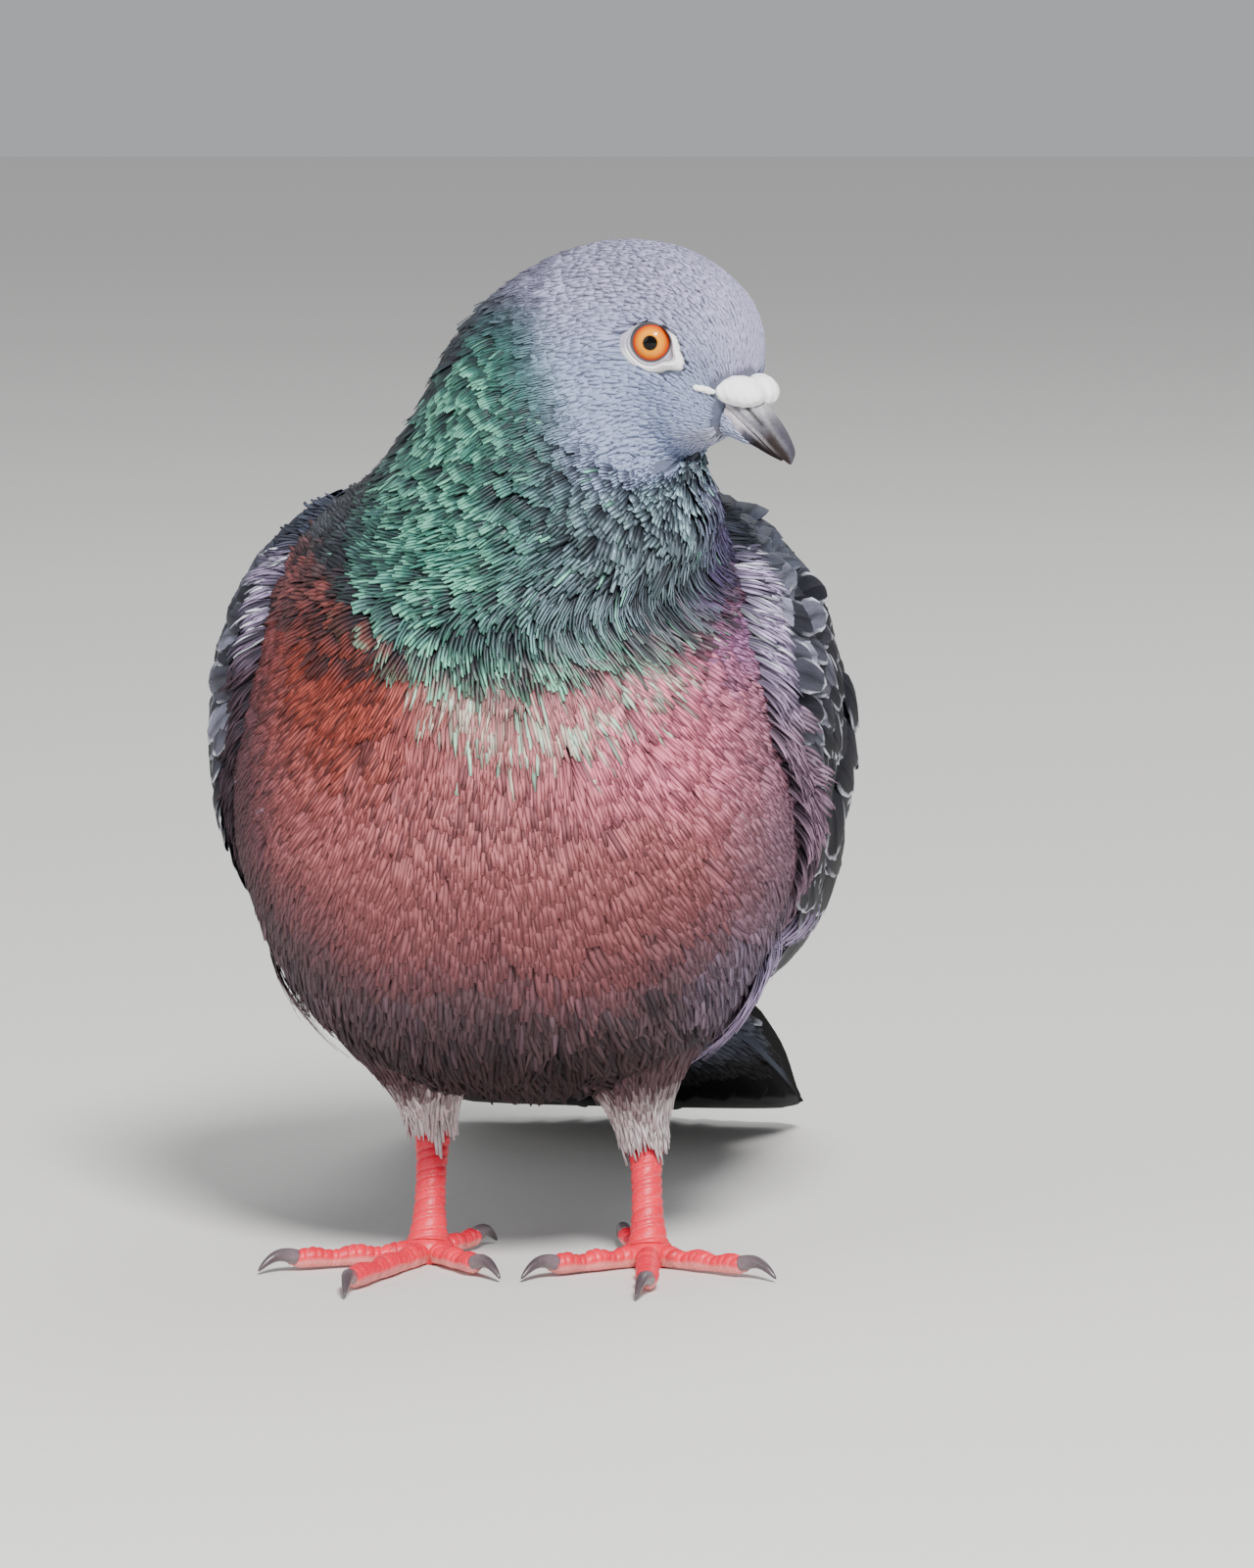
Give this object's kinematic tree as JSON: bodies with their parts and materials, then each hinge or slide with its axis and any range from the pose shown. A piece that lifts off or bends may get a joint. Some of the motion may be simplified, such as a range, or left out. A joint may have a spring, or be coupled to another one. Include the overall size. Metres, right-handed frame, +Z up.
{
  "type": "pigeon",
  "caption": "Standing rock dove with folded wings, its head turned to its left, as a still life-size museum model on its own two feet.",
  "frame": {"origin": "middle of the bounding box's base, on the floor the feet stand on", "axes": "+Z up, -Y the way the body faces, +X to the bird's own left, the side its head is turned to"},
  "size_m": [0.118, 0.2236, 0.1868],
  "materials": {
    "blue_grey_down": "close blue-grey feathers",
    "green_hackle": "glossy green hackles",
    "wine_breast": "dusty pink feathers",
    "dusky_belly": "loose grey-brown feathers",
    "slate_rump": "slate feathers",
    "dark_tail": "dark tail feathers",
    "grey_coverts": "grey wing feathers with pale fringes",
    "dark_primaries": "blackish flight feathers",
    "pale_thigh": "cream-grey leg feathers",
    "coral_scales": "scaly skin",
    "grey_claw": "smooth horn",
    "dark_bill": "smooth horn",
    "white_cere": "powdery bare skin",
    "orange_eye": "wet and clear"
  },
  "bodies": {
    "root": {"belly": "dusky_belly", "bill_lower": "dark_bill", "bill_upper": "dark_bill", "breast": "wine_breast", "cere_left": "white_cere", "cere_right": "white_cere", "claw_hind_left": "grey_claw", "claw_hind_right": "grey_claw", "claw_inner_left": "grey_claw", "claw_inner_right": "grey_claw", "claw_middle_left": "grey_claw", "claw_middle_right": "grey_claw", "claw_outer_left": "grey_claw", "claw_outer_right": "grey_claw", "eye_left": "orange_eye", "eye_right": "orange_eye", "head": "blue_grey_down", "neck_lower": "green_hackle", "neck_upper": "green_hackle", "pad_left": "coral_scales", "pad_right": "coral_scales", "primaries_left": "dark_primaries", "primaries_right": "dark_primaries", "rump": "slate_rump", "shank_left": "coral_scales", "shank_right": "coral_scales", "tail": "dark_tail", "thigh_left": "pale_thigh", "thigh_right": "pale_thigh", "toe_hind_left": "coral_scales", "toe_hind_right": "coral_scales", "toe_inner_left": "coral_scales", "toe_inner_right": "coral_scales", "toe_middle_left": "coral_scales", "toe_middle_right": "coral_scales", "toe_outer_left": "coral_scales", "toe_outer_right": "coral_scales", "wing_left": "grey_coverts", "wing_right": "grey_coverts"}
  },
  "joints": []
}
